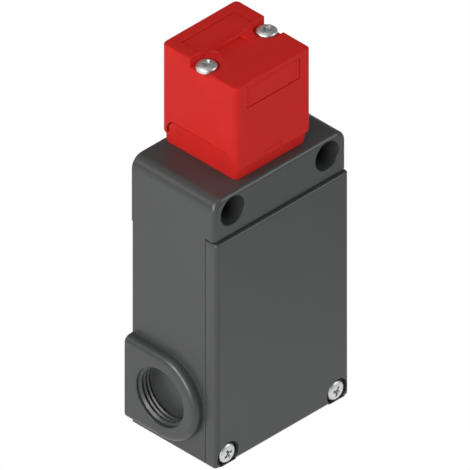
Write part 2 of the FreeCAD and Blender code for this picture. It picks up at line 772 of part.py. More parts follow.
def makeTopPlug():
    body = newBody("top_slot_plug")
    inner = f"(headTop - {plugRecess})"
    pad(body, "XY", inner, f"{inner} + plugPlate",
        centred(plugHalf, f"{topSlotY} - plugHeight / 2", f"{topSlotY} + plugHeight / 2"))
    half = "(entrySlot / 2 - plugSpigotPlay)"
    pad(body, "XY", f"{inner} - plugSpigot", inner,
        centred(f"{roomHalf} - plugSpigotPlay", f"{topSlotY} - {half}", f"{topSlotY} + {half}"))
    hollow = f"({half} - plugWall)"
    pocket(body, "XY", f"{inner} - plugSpigot", inner,
           centred(f"{roomHalf} - plugSpigotPlay - plugWall", f"{topSlotY} - {hollow}",
                   f"{topSlotY} + {hollow}"))
    roundPlugCorners(body)


def roundPlugCorners(body):
    """Rounds the plate's four short corner edges."""
    thick = size("plugPlate")
    halfWidth = size("headWidth") / 2 - size("headCheek") + size("plugOverlap")
    dress(body, "Fillet", "plugCorner", lambda edge: isStraight(edge)
          and at(edge.Length, thick) and at(abs(edge.BoundBox.Center.x), halfWidth))


def makeCamAxle():
    axle = doc.addObject("Part::Cylinder", "cam_axle")
    axle.Label = "cam_axle"
    axle.Placement = Placement(Vector(0, 0, 0), Rotation(alongY, 90))
    bind(axle, "Radius", "axleRadius")
    bind(axle, "Height", f"2 * {axleHalf}")
    bind(axle, "Placement.Base.x", f"-{axleHalf}")
    bind(axle, "Placement.Base.y", headMiddle)
    bind(axle, "Placement.Base.z", "drumHeight")
    pieces.append(axle)


def polar(radius, angle):
    return Vector(0, radius * math.cos(math.radians(angle)), radius * math.sin(math.radians(angle)))


def noseCentre(turn):
    """Where the plunger nose's centre lies, seen from the drum, once the drum has made the turn."""
    fall = size("plungerTravel") * turn / size("camTurn")
    return polar(size("camHigh") + size("plungerRadius") + size("camPlay") - fall, turn - 90)


def camPoint(turn, lean=1.0):
    """The point of the cam that meets the plunger's nose at the turn.

    The nose's centre follows a spiral round the axle, and the flank lies one nose radius inside
    that spiral, measured square to it. A lean of 0 measures straight towards the axle instead.
    """
    slope = -lean * size("plungerTravel") / math.radians(size("camTurn"))
    square = noseCentre(turn) - polar(slope, turn)
    return noseCentre(turn) - square.normalize() * (size("plungerRadius") + size("camPlay"))


def makeCamCore():
    """The middle cam: a constant-rise flank, a dwell at full height and a low back."""
    steps = 12
    turn = size("camTurn")
    flank = Part.BSplineCurve()
    flank.interpolate([camPoint(turn * step / steps) for step in range(steps + 1)])
    low = size("camHigh") - size("plungerTravel")
    backStart = camPoint(turn, 0)
    beyond = size("camBlank")
    backEnd = polar(low, size("camBackAngle"))
    dwellStart = polar(beyond, size("camDwellAngle"))
    dwellMiddle = polar(beyond, (size("camDwellAngle") + size("camDwellEnd")) / 2)
    dwellEnd = polar(beyond, size("camDwellEnd"))
    wire = Part.Wire([
        flank.toShape(),
        Part.Arc(camPoint(turn), camPoint(turn, 0.5), backStart).toShape(),
        Part.Arc(backStart, polar(low, (turn - 90 + size("camBackAngle")) / 2), backEnd).toShape(),
        Part.makeLine(backEnd, dwellStart),
        Part.Arc(dwellStart, dwellMiddle, dwellEnd).toShape(),
        Part.makeLine(dwellEnd, camPoint(0)),
    ])
    width = size("coreWidth")
    left = Vector(-width / 2, 0, 0)
    blank = Part.Face(wire).extrude(Vector(width, 0, 0)).translated(left)
    core = blank.common(Part.makeCylinder(size("camHigh"), width, left, alongX))
    core = core.cut(Part.makeCylinder(size("axleRadius") + size("axlePlay"), width, left, alongX))
    for sign in (-1, 1):
        place = left + Vector(0, sign * size("camPinCircle"), 0)
        core = core.cut(Part.makeCylinder(size("camPinRadius") + size("pinFit"), width, place, alongX))
    piece = doc.addObject("Part::Feature", "cam_core")
    piece.Label = "cam_core"
    piece.Shape = core
    piece.Placement = Placement(Vector(0, size("headBehindMiddle"), size("drumHeight")), Rotation())
    pieces.append(piece)


def toothOutline(turn):
    """A tapered tooth on the disc, pointing out at the given angle from the back."""
    def spot(out, across):
        return (f"{headMiddle} + ({out}) * cos({turn}) - ({across}) * sin({turn})",
                f"drumHeight + ({out}) * sin({turn}) + ({across}) * cos({turn})")

    return [
        spot("toothRoot", "-toothRootHalf"), spot("toothReach", "-toothTipHalf"),
        spot("toothReach", "toothTipHalf"), spot("toothRoot", "toothRootHalf"),
    ]


def makeCamDiscs():
    body = newBody("cam_discs")
    inner = "(coreWidth / 2 + seatSlack)"
    for low, high in ((f"-{drumHalf}", f"-{inner}"), (inner, drumHalf)):
        pad(body, "YZ", low, high, Circle(headMiddle, "drumHeight", "discRadius"))
        for turn in ("toothAngle", "(toothAngle - toothSpread)"):
            pad(body, "YZ", low, high, toothOutline(turn))
    pocket(body, "YZ", f"-{drumHalf}", drumHalf,
           Circle(headMiddle, "drumHeight", "axleRadius + axlePlay"))
    for sign in (-1, 1):
        pocket(body, "YZ", f"-{drumHalf}", drumHalf,
               Circle(f"{headMiddle} + {sign} * camPinCircle", "drumHeight", "camPinRadius + pinFit"))


def makeCamPins():
    body = newBody("cam_pins")
    for sign in (-1, 1):
        pad(body, "YZ", f"-{drumHalf}", drumHalf,
            Circle(f"{headMiddle} + {sign} * camPinCircle", "drumHeight", "camPinRadius"))


def makePlunger():
    body = newBody("plunger")
    nose = "(drumHeight - camHigh - camPlay)"
    pad(body, "XY", "plungerFoot", nose, Circle("0", headMiddle, "plungerRadius"))
    noseTop = size("drumHeight") - size("camHigh") - size("camPlay")
    dress(body, "Fillet", "plungerRadius - camPlay", lambda edge: at(edge.BoundBox.ZMin, noseTop))
    pocket(body, "XY", clipLow, f"{clipLow} + clipThickness + seatSlack",
           Circle("0", headMiddle, "plungerRadius"), Circle("0", headMiddle, "plungerRadius - clipGroove"))


def makePlungerClip():
    body = newBody("plunger_clip")
    bore = "(plungerRadius - clipGroove + seatSlack)"
    pad(body, "XY", clipLow, f"{clipLow} + clipThickness", Circle("0", headMiddle, "clipRadius"),
        Circle("0", headMiddle, bore))
    pocket(body, "XY", clipLow, f"{clipLow} + clipThickness",
           centred("clipMouth", f"{headMiddle} - clipRadius", headMiddle))


def makeGuideBush():
    body = newBody("guide_bush")
    pad(body, "XY", cavityTop, "wellFloor", Circle("0", headMiddle, "bushRadius - pinFit"),
        Circle("0", headMiddle, "plungerRadius + plungerPlay"))


def makePlungerSeal():
    body = newBody("plunger_seal")
    inner = "plungerRadius + plungerPlay"
    top = "wellFloor + sealHeight"
    turned(body, "XZ", headMiddle, "0", [
        (f"{inner} + sealRelief", "wellFloor"), (f"{wellRadius} - plungerPlay", "wellFloor"),
        (f"{wellRadius} - plungerPlay", top), (f"{inner} + sealRoot", top),
        (f"{inner} + sealNeck", "wellFloor + sealHeight / 2"), (inner, f"{top} - sealLipHigh"),
        (inner, f"{top} - sealLipLow"),
    ])


def makeSealWasher():
    body = newBody("seal_washer")
    low = "wellFloor + sealHeight"
    pad(body, "XY", low, f"{low} + sealWasher", Circle("0", headMiddle, f"{wellRadius} - pinFit"),
        Circle("0", headMiddle, "plungerRadius + washerPlay"))


rows = [f"(rowFirst + {index} * rowPitch)" for index in range(3)]
halfChamber = "(chamberHeight / 2)"


def makeBlockBase():
    body = newBody("contact_block_base")
    pad(body, "XZ", blockFront, blockBack, centred("blockWidth / 2", "blockLow", "blockHigh"))
    pocket(body, "XZ", blockFront, channelBack,
           centred("carrierWidth / 2 + carrierSidePlay", "springFloor", "blockHigh"))
    for row in rows:
        pocket(body, "XZ", blockFront, channelBack,
               centred("chamberWidth / 2", f"{row} - {halfChamber}", f"{row} + {halfChamber}"))
        for sign in (-1, 1):
            pocket(body, "XZ", blockFront, f"{blockFront} + terminalScrewLength",
                   Circle(f"{sign} * terminalX", row, "screwRadius + screwFit"))
    for sign in (-1, 1):
        outer = f"{sign} * blockWidth / 2"
        inner = f"{sign} * (bladeInner + contactSheet)"
        left, right = (outer, inner) if sign < 0 else (inner, outer)
        for row in rows[:-1]:
            middle = f"({row} + rowPitch / 2)"
            pad(body, "XZ", f"{blockFront} - barrierRise", f"{blockFront} + barrierRoot",
                rectangle(left, right, f"{middle} - barrierThickness / 2",
                          f"{middle} + barrierThickness / 2"))
        pocket(body, "XZ", blockFront, blockBack,
               Circle(f"{sign} * blockScrewX", "blockScrewZ", "screwRadius + screwPassage"))


def makeBlockLid():
    body = newBody("contact_block_lid")
    pad(body, "XZ", f"{blockFront} - lidThickness", blockFront,
        centred("lidWidth / 2", "blockLow + lidMargin", "blockHigh - lidMargin"))
    for row in rows:
        pocket(body, "XZ", f"{blockFront} - lidThickness", f"{blockFront} - lidThickness / 2",
               centred("lidWidth / 4", f"{row} - lidWindow", f"{row} + lidWindow"))


# Each bridge sits at the end of its carrier window that faces its fixed contacts. The two upper
# rows close when the carrier rises, and the lowest row is closed while it is down.

bladeFar = f"({halfChamber})"
bladeNear = f"({halfChamber} - contactSheet)"
openTop = f"({halfChamber} - contactSheet - 2 * rivetHeight - contactPlay - plungerTravel)"
shutLow = f"({halfChamber} - contactSheet - 2 * rivetHeight - contactPlay)"


def isUpper(row):
    return row != rows[0]


def bridgeSpan(row):
    """Low and high of the row's bridge with the carrier down."""
    if isUpper(row):
        return f"{row} + {openTop} - contactSheet", f"{row} + {openTop}"
    return f"{row} - {shutLow}", f"{row} - {shutLow} + contactSheet"


def windowSpan(row):
    low, high = bridgeSpan(row)
    if isUpper(row):
        return f"{high} + seatSlack - windowHeight", f"{high} + seatSlack"
    return f"{low} - seatSlack", f"{low} - seatSlack + windowHeight"


def makeCarrier():
    body = newBody("contact_carrier")
    pad(body, "XY", "carrierFoot", "plungerFoot",
        centred("carrierWidth / 2", f"{headMiddle} - carrierDepth / 2", f"{headMiddle} + carrierDepth / 2"))
    for row in rows:
        low, high = windowSpan(row)
        pocket(body, "YZ", "-carrierWidth / 2", "carrierWidth / 2",
               rectangle(f"{headMiddle} - windowDepth / 2", f"{headMiddle} + windowDepth / 2", low, high))
    pad(body, "XY", "carrierFoot - springSpigot", "carrierFoot",
        Circle("0", headMiddle, "springRadius - springWire"))


def makeBridges():
    body = newBody("moving_contacts")
    for row in rows:
        low, high = bridgeSpan(row)
        pad(body, "XY", low, high,
            centred("bridgeLength / 2", f"{headMiddle} - bridgeDepth / 2", f"{headMiddle} + bridgeDepth / 2"))
        rivet = (high, f"{high} + rivetHeight") if isUpper(row) else (f"{low} - rivetHeight", low)
        for sign in (-1, 1):
            pad(body, "XY", *rivet, Circle(f"{sign} * {rivetPlace}", headMiddle, "rivetRadius"))


def makeFixedContacts(label, chosen):
    body = newBody(label)
    plateFront = f"{blockFront} - contactSheet"
    for row in chosen:
        up = isUpper(row)
        for sign in (-1, 1):
            inner = f"{sign} * bladeInner"
            outer = f"{sign} * bladeOuter"
            plateEnd = f"{sign} * (terminalX + terminalPlateReach)"
            tip = f"{headMiddle} + bridgeDepth / 2"
            if up:
                blade = (f"{row} + {bladeNear}", f"{row} + {bladeFar}")
                plate = (f"{row} - terminalPlateWidth / 2", blade[1])
                rivet = (f"{blade[0]} - rivetHeight", blade[0])
            else:
                blade = (f"{row} - {bladeFar}", f"{row} - {bladeNear}")
                plate = (blade[0], f"{row} + terminalPlateWidth / 2")
                rivet = (blade[1], f"{blade[1]} + rivetHeight")
            span = (inner, outer) if sign > 0 else (outer, inner)
            pad(body, "XY", *blade, rectangle(*span, plateFront, tip))
            span = (inner, plateEnd) if sign > 0 else (plateEnd, inner)
            pad(body, "XZ", plateFront, blockFront, rectangle(*span, *plate))
            pocket(body, "XZ", plateFront, blockFront,
                   Circle(f"{sign} * terminalX", row, "screwRadius + screwFit"))
            pad(body, "XY", *rivet, Circle(f"{sign} * {rivetPlace}", headMiddle, "rivetRadius"))


def makeTerminalHardware():
    clamps = newBody("terminal_clamps")
    screws = newBody("terminal_screws")
    plateFront = f"({blockFront} - contactSheet)"
    for row in rows:
        for sign in (-1, 1):
            centre = f"{sign} * terminalX"
            pad(clamps, "XZ", f"{plateFront} - clampThickness", plateFront,
                rectangle(f"{centre} - clampSize / 2", f"{centre} + clampSize / 2",
                          f"{row} - clampSize / 2", f"{row} + clampSize / 2"),
                Circle(centre, row, "screwRadius + screwPassage"))
            turned(screws, "XY", row, centre,
                   screwOutline(centre, f"({plateFront} - clampThickness)", 1, "terminalScrewLength"))


def makeBlockScrews():
    body = newBody("block_screws")
    length = f"({innerBack} + wall / 2 - screwEndGap - {blockFront})"
    for sign in (-1, 1):
        centre = f"{sign} * blockScrewX"
        turned(body, "XY", "blockScrewZ", centre, screwOutline(centre, blockFront, 1, length))


def makeEarthTerminal():
    face = f"({innerBack} - earthBossHeight)"
    clamp = newBody("earth_clamp")
    pad(clamp, "XZ", f"{face} - clampThickness", face,
        rectangle("earthX - clampSize / 2", "earthX + clampSize / 2", "earthZ - clampSize / 2",
                  "earthZ + clampSize / 2"),
        Circle("earthX", "earthZ", "screwRadius + screwPassage"))
    screw = newBody("earth_screw")
    seat = f"({face} - clampThickness)"
    turned(screw, "XY", "earthZ", "earthX",
           screwOutline("earthX", seat, 1, f"({innerBack} + wall / 4 - screwEndGap - {seat})"))


def coil(radius, wire, low, high, turns):
    """A wound spring on the plunger's line, as a six-sided wire in short straight runs."""
    runsPerTurn = 12
    count = round(runsPerTurn * turns)
    middle = radius
    climb = (high - low - wire) / count
    points = []
    for step in range(count + 1):
        angle = 2 * math.pi * step / runsPerTurn
        points.append(Vector(middle * math.cos(angle), size("headBehindMiddle") + middle * math.sin(angle),
                             low + wire / 2 + climb * step))
    across = (points[1] - points[0]).normalize()
    out = Vector(1, 0, 0)
    up = across.cross(out).normalize()
    corners = []
    for step in range(7):
        angle = math.pi * step / 3
        corners.append(points[0] + out * (wire / 2 * math.cos(angle)) + up * (wire / 2 * math.sin(angle)))
    section = Part.Wire(Part.makePolygon(corners).Edges)
    return Part.Wire(Part.makePolygon(points).Edges).makePipeShell([section], True, False, 1)


def spring(label, shapes):
    piece = doc.addObject("Part::Feature", label)
    piece.Label = label
    piece.Shape = shapes[0] if len(shapes) == 1 else Part.makeCompound(shapes)
    pieces.append(piece)


def measured(text):
    """The number that an expression of the sizes comes to."""
    return float(sheet.evalExpression(re.sub(r"[A-Za-z]\w*", lambda word: str(size(word.group())), text)))


def makeSprings():
    seat = size("springSeat")
    spring("return_spring", [coil(size("springRadius"), size("springWire"), size("springFloor") + seat,
                                  size("carrierFoot") - seat, size("springTurns"))])
    coils = []
    for row in rows:
        low, high = windowSpan(row)
        bridgeLow, bridgeHigh = bridgeSpan(row)
        span = (low, bridgeLow) if isUpper(row) else (bridgeHigh, high)
        coils.append(coil(size("contactSpringRadius"), size("contactSpringWire"), measured(span[0]) + seat,
                          measured(span[1]) - seat, size("contactSpringTurns")))
    spring("contact_springs", coils)


makeHousing()
makeCover()
makeGasket()
makeCoverScrews()
makeHeadCasing()
makeHeadBase()
makeHeadRing()
makeHeadScrews()
makeFrontPlug()
makeTopPlug()
makeCamAxle()
makeCamCore()
makeCamDiscs()
makeCamPins()
makePlunger()
makePlungerClip()
makeGuideBush()
makePlungerSeal()
makeSealWasher()
makeBlockBase()
makeBlockLid()
makeCarrier()
makeBridges()
makeFixedContacts("nc_fixed_contacts", rows[1:])
makeFixedContacts("no_fixed_contacts", rows[:1])
makeTerminalHardware()
makeBlockScrews()
makeEarthTerminal()
makeSprings()

doc.recompute()
for item in doc.Objects:
    if "Invalid" in item.State or "Error" in item.State:
        raise RuntimeError(f"{item.Name} ({item.Label}) failed: {item.State}")
for piece in pieces:
    if piece.Shape.isNull() or not piece.Shape.isValid():
        raise RuntimeError(f"{piece.Label} has no valid shape")

os.makedirs("parts", exist_ok=True)
for piece in pieces:
    piece.Shape.exportStep(os.path.join("parts", piece.Label + ".step"))
    print(f"{piece.Label}: {len(piece.Shape.Solids)} solids, {piece.Shape.Volume:.1f} mm3")
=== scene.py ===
import json
import math

import bmesh
import bpy
from mathutils import Matrix, Vector
from mathutils.bvhtree import BVHTree


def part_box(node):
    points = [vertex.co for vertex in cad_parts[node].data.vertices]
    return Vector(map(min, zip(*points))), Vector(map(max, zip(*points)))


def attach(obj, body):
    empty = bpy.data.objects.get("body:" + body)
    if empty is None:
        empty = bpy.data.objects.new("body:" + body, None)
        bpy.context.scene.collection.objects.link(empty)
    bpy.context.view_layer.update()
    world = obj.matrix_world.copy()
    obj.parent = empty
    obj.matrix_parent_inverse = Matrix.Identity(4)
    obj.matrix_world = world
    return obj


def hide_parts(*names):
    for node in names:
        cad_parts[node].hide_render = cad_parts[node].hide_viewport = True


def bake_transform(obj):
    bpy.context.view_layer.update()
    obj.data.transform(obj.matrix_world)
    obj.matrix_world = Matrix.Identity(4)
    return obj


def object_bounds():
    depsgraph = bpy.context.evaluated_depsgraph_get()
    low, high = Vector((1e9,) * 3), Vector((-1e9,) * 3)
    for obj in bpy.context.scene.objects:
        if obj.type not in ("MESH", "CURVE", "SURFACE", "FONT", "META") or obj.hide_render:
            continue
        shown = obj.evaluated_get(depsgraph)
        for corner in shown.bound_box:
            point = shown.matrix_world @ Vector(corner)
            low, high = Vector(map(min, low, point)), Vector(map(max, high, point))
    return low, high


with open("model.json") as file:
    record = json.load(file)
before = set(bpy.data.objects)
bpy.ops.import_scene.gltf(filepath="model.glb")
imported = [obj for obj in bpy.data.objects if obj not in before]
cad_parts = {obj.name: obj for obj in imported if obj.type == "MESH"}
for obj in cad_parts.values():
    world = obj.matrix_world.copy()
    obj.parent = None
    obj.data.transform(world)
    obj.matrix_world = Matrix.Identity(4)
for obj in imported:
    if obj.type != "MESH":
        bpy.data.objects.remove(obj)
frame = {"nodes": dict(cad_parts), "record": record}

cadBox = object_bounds()
mm = 0.001
looseReach = 0.002  # corners of a CAD mesh nearer than this, in millimetres, are one
spinReach = 0.0005  # the same for a spun mesh
upToFront = Matrix.Rotation(math.radians(90), 4, "X")  # a screw whose head faces the front
upToTop = Matrix.Identity(4)
mountPlaces = {mount["name"]: Vector(mount["pos_m"]) for mount in frame["record"]["mounts"]}


# Materials. Sizes in these looks are in millimetres, colours are linear.

def newShader(name):
    material = bpy.data.materials.new(name)
    material.use_nodes = True
    tree = material.node_tree
    tree.nodes.clear()
    output = tree.nodes.new("ShaderNodeOutputMaterial")
    shader = tree.nodes.new("ShaderNodeBsdfPrincipled")
    tree.links.new(shader.outputs["BSDF"], output.inputs["Surface"])
    return material, tree, shader


def objectPlaces(tree, stretch=(1, 1, 1)):
    place = tree.nodes.new("ShaderNodeTexCoord")
    mapping = tree.nodes.new("ShaderNodeMapping")
    mapping.inputs["Scale"].default_value = stretch
    tree.links.new(place.outputs["Object"], mapping.inputs["Vector"])
    return mapping.outputs["Vector"]


def grain(tree, places, size, detail=3.0, roughness=0.55):
    noise = tree.nodes.new("ShaderNodeTexNoise")
    noise.inputs["Scale"].default_value = 1 / (size * mm)
    noise.inputs["Detail"].default_value = detail
    noise.inputs["Roughness"].default_value = roughness
    tree.links.new(places, noise.inputs["Vector"])
    return noise.outputs["Fac"]


noiseLow, noiseHigh = 0.3, 0.7  # most values of a noise texture lie between these


def ramp(tree, source, low, high, lowPlace=noiseLow, highPlace=noiseHigh):
    node = tree.nodes.new("ShaderNodeValToRGB")
    node.color_ramp.elements[0].position = lowPlace
    node.color_ramp.elements[0].color = (*low, 1)
    node.color_ramp.elements[1].position = highPlace
    node.color_ramp.elements[1].color = (*high, 1)
    tree.links.new(source, node.inputs["Fac"])
    return node.outputs["Color"]


def between(tree, source, low, high):
    node = tree.nodes.new("ShaderNodeMapRange")
    node.inputs["From Min"].default_value = noiseLow
    node.inputs["From Max"].default_value = noiseHigh
    node.inputs["To Min"].default_value = low
    node.inputs["To Max"].default_value = high
    tree.links.new(source, node.inputs["Value"])
    return node.outputs["Result"]


def bumped(tree, source, depth, under=None):
    bump = tree.nodes.new("ShaderNodeBump")
    bump.inputs["Strength"].default_value = 1.0
    bump.inputs["Distance"].default_value = depth * mm
    tree.links.new(source, bump.inputs["Height"])
    if under is not None:
        tree.links.new(under, bump.inputs["Normal"])
    return bump.outputs["Normal"]


def shade(colour, factor):
    return tuple(min(1.0, part * factor) for part in colour)


finishDetail = {"speckleFrom": 0.35, "speckleTo": 0.6, "roughCloudShare": 0.4}


def makeFinish(name, look):
    material, tree, shader = newShader(name)
    places = objectPlaces(tree, look.get("stretch", (1, 1, 1)))
    plain = objectPlaces(tree)
    clouds = grain(tree, plain, look["cloudSize"])
    colour, spread = look["colour"], look["spread"]
    cloudColour = ramp(tree, clouds, shade(colour, 1 - spread), shade(colour, 1 + spread))
    fine = grain(tree, places, look["grainSize"], detail=4.0)
    speckle = ramp(tree, fine, shade((1, 1, 1), 1 - look["speckle"]), (1, 1, 1),
                   finishDetail["speckleFrom"], finishDetail["speckleTo"])
    mixed = tree.nodes.new("ShaderNodeMix")
    mixed.data_type = "RGBA"
    mixed.blend_type = "MULTIPLY"
    mixed.inputs["Factor"].default_value = 1.0
    tree.links.new(cloudColour, mixed.inputs["A"])
    tree.links.new(speckle, mixed.inputs["B"])
    tree.links.new(mixed.outputs["Result"], shader.inputs["Base Color"])
    roughSize = look["cloudSize"] * finishDetail["roughCloudShare"]
    roughClouds = grain(tree, places, roughSize, detail=5.0)
    tree.links.new(between(tree, roughClouds, *look["rough"]), shader.inputs["Roughness"])
    waves = grain(tree, plain, look["waveSize"], detail=1.0)
    normal = bumped(tree, waves, look["waveDepth"])
    normal = bumped(tree, fine, look["grainDepth"], under=normal)
    tree.links.new(normal, shader.inputs["Normal"])
    shader.inputs["Metallic"].default_value = look.get("metallic", 0.0)
    shader.inputs["Specular IOR Level"].default_value = look.get("specular", 0.5)
    if "glow" in look:  # light that scatters inside the plastic
        shader.inputs["Subsurface Weight"].default_value = look["glow"]
        shader.inputs["Subsurface Radius"].default_value = look["glowReach"]
        shader.inputs["Subsurface Scale"].default_value = mm
    return material


finishes = {
    "powder_coated_casting": makeFinish("greyPowderCoat", {
        "colour": (0.0648, 0.0690, 0.0664), "spread": 0.035, "speckle": 0.08, "cloudSize": 22.0,
        "grainSize": 0.30, "grainDepth": 0.006, "waveSize": 2.2, "waveDepth": 0.010,
        "rough": (0.31, 0.38), "specular": 0.45}),
    "red_moulding": makeFinish("redMoulding", {
        "colour": (0.70, 0.024, 0.020), "spread": 0.04, "speckle": 0.04, "cloudSize": 14.0,
        "grainSize": 0.22, "grainDepth": 0.003, "waveSize": 3.0, "waveDepth": 0.006,
        "rough": (0.30, 0.38), "specular": 0.07, "glow": 0.15, "glowReach": (1.2, 0.25, 0.2)}),
    "bright_steel": makeFinish("zincPlatedSteel", {
        "colour": (0.70, 0.71, 0.69), "spread": 0.06, "speckle": 0.10, "cloudSize": 2.0,
        "grainSize": 0.12, "grainDepth": 0.002, "waveSize": 0.8, "waveDepth": 0.004,
        "rough": (0.36, 0.46), "metallic": 1.0}),
    "spring_steel": makeFinish("drawnSpringWire", {
        "colour": (0.50, 0.50, 0.49), "spread": 0.08, "speckle": 0.18, "cloudSize": 1.2,
        "grainSize": 0.08, "grainDepth": 0.002, "waveSize": 0.6, "waveDepth": 0.002,
        "rough": (0.26, 0.40), "metallic": 1.0}),
    "black_seal": makeFinish("mouldedRubber", {
        "colour": (0.020, 0.020, 0.021), "spread": 0.12, "speckle": 0.20, "cloudSize": 4.0,
        "grainSize": 0.15, "grainDepth": 0.006, "waveSize": 1.2, "waveDepth": 0.008,
        "rough": (0.62, 0.78), "specular": 0.35}),
    "pale_acetal": makeFinish("naturalAcetal", {
        "colour": (0.76, 0.74, 0.68), "spread": 0.03, "speckle": 0.05, "cloudSize": 9.0,
        "grainSize": 0.20, "grainDepth": 0.003, "waveSize": 2.0, "waveDepth": 0.006,
        "rough": (0.38, 0.50), "specular": 0.45, "glow": 0.2, "glowReach": (1.0, 0.9, 0.7)}),
    "bush_bronze": makeFinish("sinteredBronze", {
        "colour": (0.56, 0.36, 0.18), "spread": 0.12, "speckle": 0.35, "cloudSize": 1.5,
        "grainSize": 0.18, "grainDepth": 0.010, "waveSize": 1.0, "waveDepth": 0.004,
        "rough": (0.38, 0.55), "metallic": 1.0}),
    "black_moulding": makeFinish("glassFilledMoulding", {
        "colour": (0.030, 0.031, 0.034), "spread": 0.10, "speckle": 0.25, "cloudSize": 8.0,
        "grainSize": 0.16, "grainDepth": 0.006, "waveSize": 2.0, "waveDepth": 0.006,
        "rough": (0.42, 0.58), "specular": 0.45}),
    "contact_brass": makeFinish("punchedBrass", {
        "colour": (0.78, 0.58, 0.26), "spread": 0.07, "speckle": 0.12, "cloudSize": 3.0,
        "grainSize": 0.10, "grainDepth": 0.002, "waveSize": 1.0, "waveDepth": 0.004,
        "rough": (0.24, 0.38), "metallic": 1.0, "stretch": (1, 6, 1)}),
}
print("finishes made:", len(finishes))

bodies = frame["record"]["behaviour"]["bodies"]
bodyOfNode = {node: body for body, nodes in bodies.items() for node in nodes}
slotOfNode = {part["node"]: part["material_slot"] for part in frame["record"]["subparts"]}
for nodeName, nodeObject in frame["nodes"].items():
    nodeObject.data.materials.clear()
    nodeObject.data.materials.append(finishes[slotOfNode[nodeName]])


# Pieces are kept at the origin with their place in their mesh.

def keepMesh(name, bm, sharpAngle=34):
    mesh = bpy.data.meshes.new(name)
    bm.to_mesh(mesh)
    bm.free()
    mesh.shade_smooth()
    mesh.set_sharp_from_angle(angle=math.radians(sharpAngle))
    piece = bpy.data.objects.new(name, mesh)
    bpy.context.scene.collection.objects.link(piece)
    return piece


def standFor(piece, *nodeNames):
    slotName = slotOfNode[nodeNames[0]]
    piece.data.materials.append(finishes[slotName])
    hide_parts(*nodeNames)
    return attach(piece, bodyOfNode[nodeNames[0]])


# The moulded and cast shells: each CAD shape with its sharp edges eased, as tooling and paint
# leave them.

shellEdges = {
    "housing": 0.28,
    "cover": 0.22,
    "head_casing": 0.20,
    "head_base": 0.15,
    "front_slot_plug": 0.14,
    "top_slot_plug": 0.14,
    "contact_block_base": 0.12,
    "contact_block_lid": 0.12,
    "contact_carrier": 0.10,
}
tightInside = {"housing": 0.07}  # inner corners that stay tighter than the outer ones
# angles in degrees, keepClear and mostStray as shares of the easing
easing = {"flatWithin": 0.5, "sharpFrom": 40, "segments": 2, "tries": 4, "keepClear": 1.5,
          "mostStray": 0.5}


def mergedCopy(nodeName):
    bm = bmesh.new()
    bm.from_mesh(frame["nodes"][nodeName].data)
    bmesh.ops.remove_doubles(bm, verts=bm.verts, dist=looseReach * mm)
    bmesh.ops.dissolve_limit(bm, angle_limit=math.radians(easing["flatWithin"]),
                             verts=bm.verts, edges=bm.edges)
    return bm


def turnOf(edge):
    angle = math.degrees(edge.calc_face_angle_signed())
    if abs(angle) <= easing["sharpFrom"]:
        return "flat"
    return "outer" if angle > 0 else "inner"


def nearEdge(edge, spot, reach):
    start, end = (vert.co for vert in edge.verts)
    along = end - start
    share = max(0.0, min(1.0, (spot - start).dot(along) / max(along.length_squared, 1e-18)))
    return (start + along * share - spot).length < reach


def easedShell(nodeName, edgeRound):
    # edges whose easing would leave the shape's own surface stay sharp
    plain = mergedCopy(nodeName)
    surface = BVHTree.FromBMesh(plain)
    plain.free()
    leftSharp = []
    clear = easing["keepClear"] * edgeRound * mm
    passes = [(edgeRound, ("outer", "inner"))]
    if nodeName in tightInside:
        passes = [(tightInside[nodeName], ("inner",)), (edgeRound, ("outer",))]
    for attempt in range(easing["tries"]):
        bm = mergedCopy(nodeName)
        for amount, turns in passes:
            bm.normal_update()
            sharp = [edge for edge in bm.edges if edge.is_manifold and turnOf(edge) in turns
                     and not any(nearEdge(edge, spot, clear) for spot in leftSharp)]
            bmesh.ops.bevel(bm, geom=sharp, offset=amount * mm, offset_type="OFFSET",
                            segments=easing["segments"], profile=0.5, affect="EDGES",
                            clamp_overlap=False, loop_slide=True, material=-1)
        strays = [vert.co.copy() for vert in bm.verts
                  if surface.find_nearest(vert.co)[3] > easing["mostStray"] * edgeRound * mm]
        if not strays or attempt == easing["tries"] - 1:
            break
        leftSharp += [surface.find_nearest(spot)[0] for spot in strays]
        bm.free()
    bmesh.ops.triangulate(bm, faces=[face for face in bm.faces if len(face.verts) > 4])
    low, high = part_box(nodeName)
    for vert in bm.verts:  # nothing leaves the shape's own box
        vert.co = Vector([max(low[k], min(high[k], vert.co[k])) for k in range(3)])
    print("eased", nodeName, "edges", len(sharp), "left sharp near", len(leftSharp),
          "strays", len(strays))
    piece = standFor(keepMesh(nodeName + "_shell", bm), nodeName)
    flatten = piece.modifiers.new("flatFaces", "WEIGHTED_NORMAL")
    flatten.keep_sharp = True
    return piece


for nodeName, edgeRound in shellEdges.items():
    easedShell(nodeName, edgeRound)
print("shells eased:", len(shellEdges))


# Screws: a domed pan head with a cross recess, on a threaded shank. Built with the head up.

panScrew = {
    "headRadius": 3.3, "headHeight": 2.0, "crownRadius": 1.3, "brimHeight": 1.0, "brimEase": 0.12,
    "domeSteps": 8, "stepsRound": 48,
    "coreRadius": 1.45, "neckLength": 0.25, "neckFoot": 0.6, "pointLength": 0.4,
    "threadRadius": 1.75, "pitch": 0.7, "crest": (0.4, 0.6),  # the crest as shares of the pitch
    "threadStart": 0.5, "threadLeftOff": 1.6, "threadSunk": 0.05, "threadSteps": 24,
    "recessReach": 2.2, "recessWidth": 1.1, "recessDepth": 1.4, "recessTaper": 0.6,
    "pitRadius": 0.35, "pitSpread": 1.35, "pitDepth": 1.1, "pitSides": 24,  # in the cross's middle
    "firstTurn": 25, "nextTurn": 47,  # degrees
}


